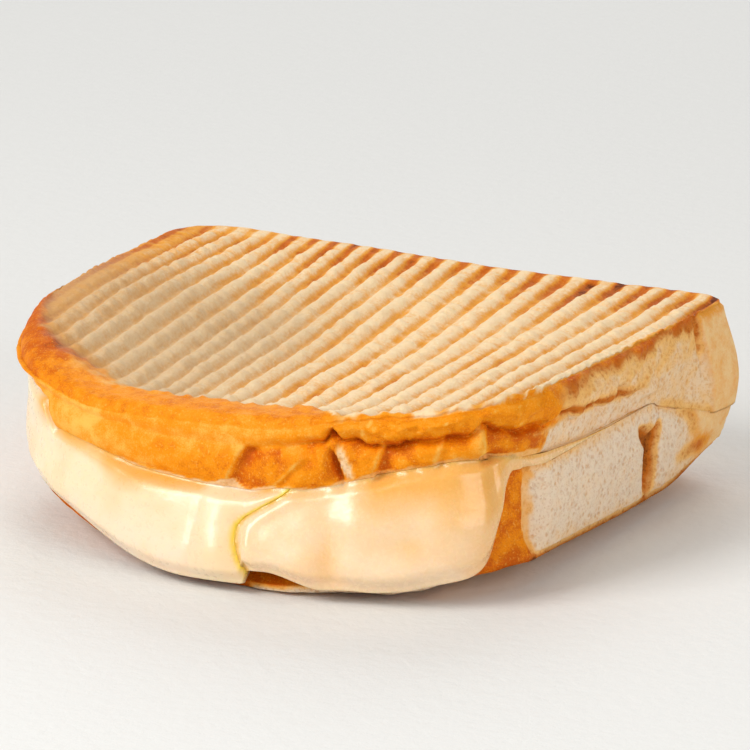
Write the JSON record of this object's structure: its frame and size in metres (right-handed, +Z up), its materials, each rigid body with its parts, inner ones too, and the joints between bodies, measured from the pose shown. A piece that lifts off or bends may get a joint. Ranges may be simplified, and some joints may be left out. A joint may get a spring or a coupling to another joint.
{
  "type": "grilled cheese sandwich",
  "caption": "Pressed grilled cheese sandwich: ridged toasted slices with melted cheese that has run out and hangs over the front crust.",
  "frame": {"origin": "middle of the base of the bounding box, on the surface the sandwich rests on", "axes": "+Z up; +X across the ridges of the toasted face, towards the open crumb side; +Y along the ridges, away from the cheese that hangs over the front"},
  "size_m": [0.1242, 0.1146, 0.0388],
  "materials": {
    "toasted_bread": "toasted bread, cream ridges with golden brown valleys, dry and matte",
    "bread_crumb": "soft bread crumb with a thin golden brown crust, matte",
    "pale_cheese": "melted pale yellow cheese, glossy",
    "amber_cheese": "melted amber cheese, glossy"
  },
  "bodies": {
    "root": {"top_slice": "toasted_bread", "bottom_slice": "bread_crumb", "cheese_left": "pale_cheese", "cheese_right": "amber_cheese"}
  },
  "joints": []
}
